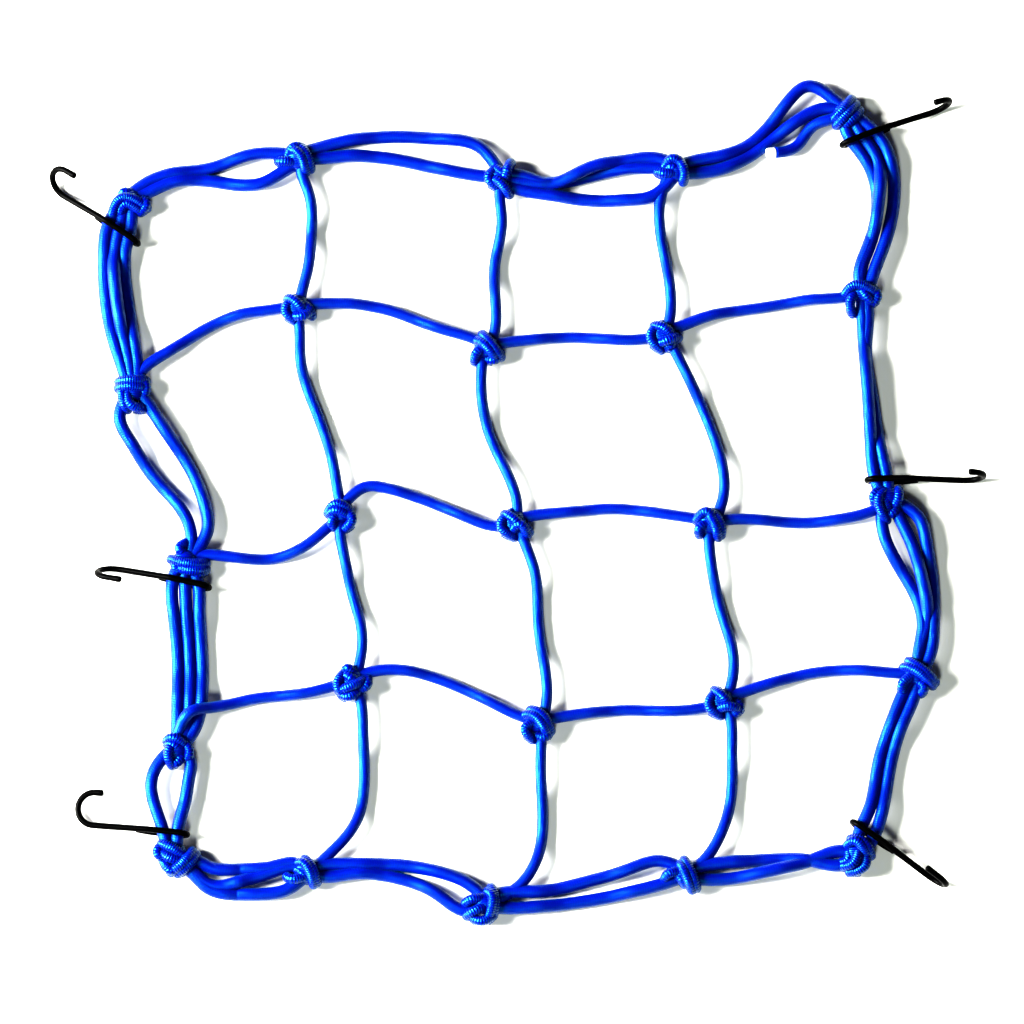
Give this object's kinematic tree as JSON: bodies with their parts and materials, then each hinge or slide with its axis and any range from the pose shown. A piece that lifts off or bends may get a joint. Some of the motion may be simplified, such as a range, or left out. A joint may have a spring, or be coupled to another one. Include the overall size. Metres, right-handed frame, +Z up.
{
  "type": "luggage net",
  "caption": "Knotted square net of braided elastic cord with bent wire hooks round its edge, lying slack, for holding luggage down.",
  "frame": {"origin": "on the surface the net lies on, under the middle of the whole thing", "axes": "+X across the net from the single-hook corner on the left to the tail's corner on the right, +Y away, +Z up from the surface"},
  "size_m": [0.4226, 0.383, 0.0195],
  "materials": {
    "blue_braided_cord": "tight glossy braid",
    "sealed_cord_end": "melted cut end",
    "black_coated_wire": "smooth dipped coating"
  },
  "bodies": {
    "root": {"net": "blue_braided_cord", "cord_end": "sealed_cord_end", "hook_top_left": "black_coated_wire", "hook_top_right": "black_coated_wire", "hook_mid_left": "black_coated_wire", "hook_mid_right": "black_coated_wire", "hook_bottom_left": "black_coated_wire", "hook_bottom_right": "black_coated_wire"}
  },
  "joints": []
}
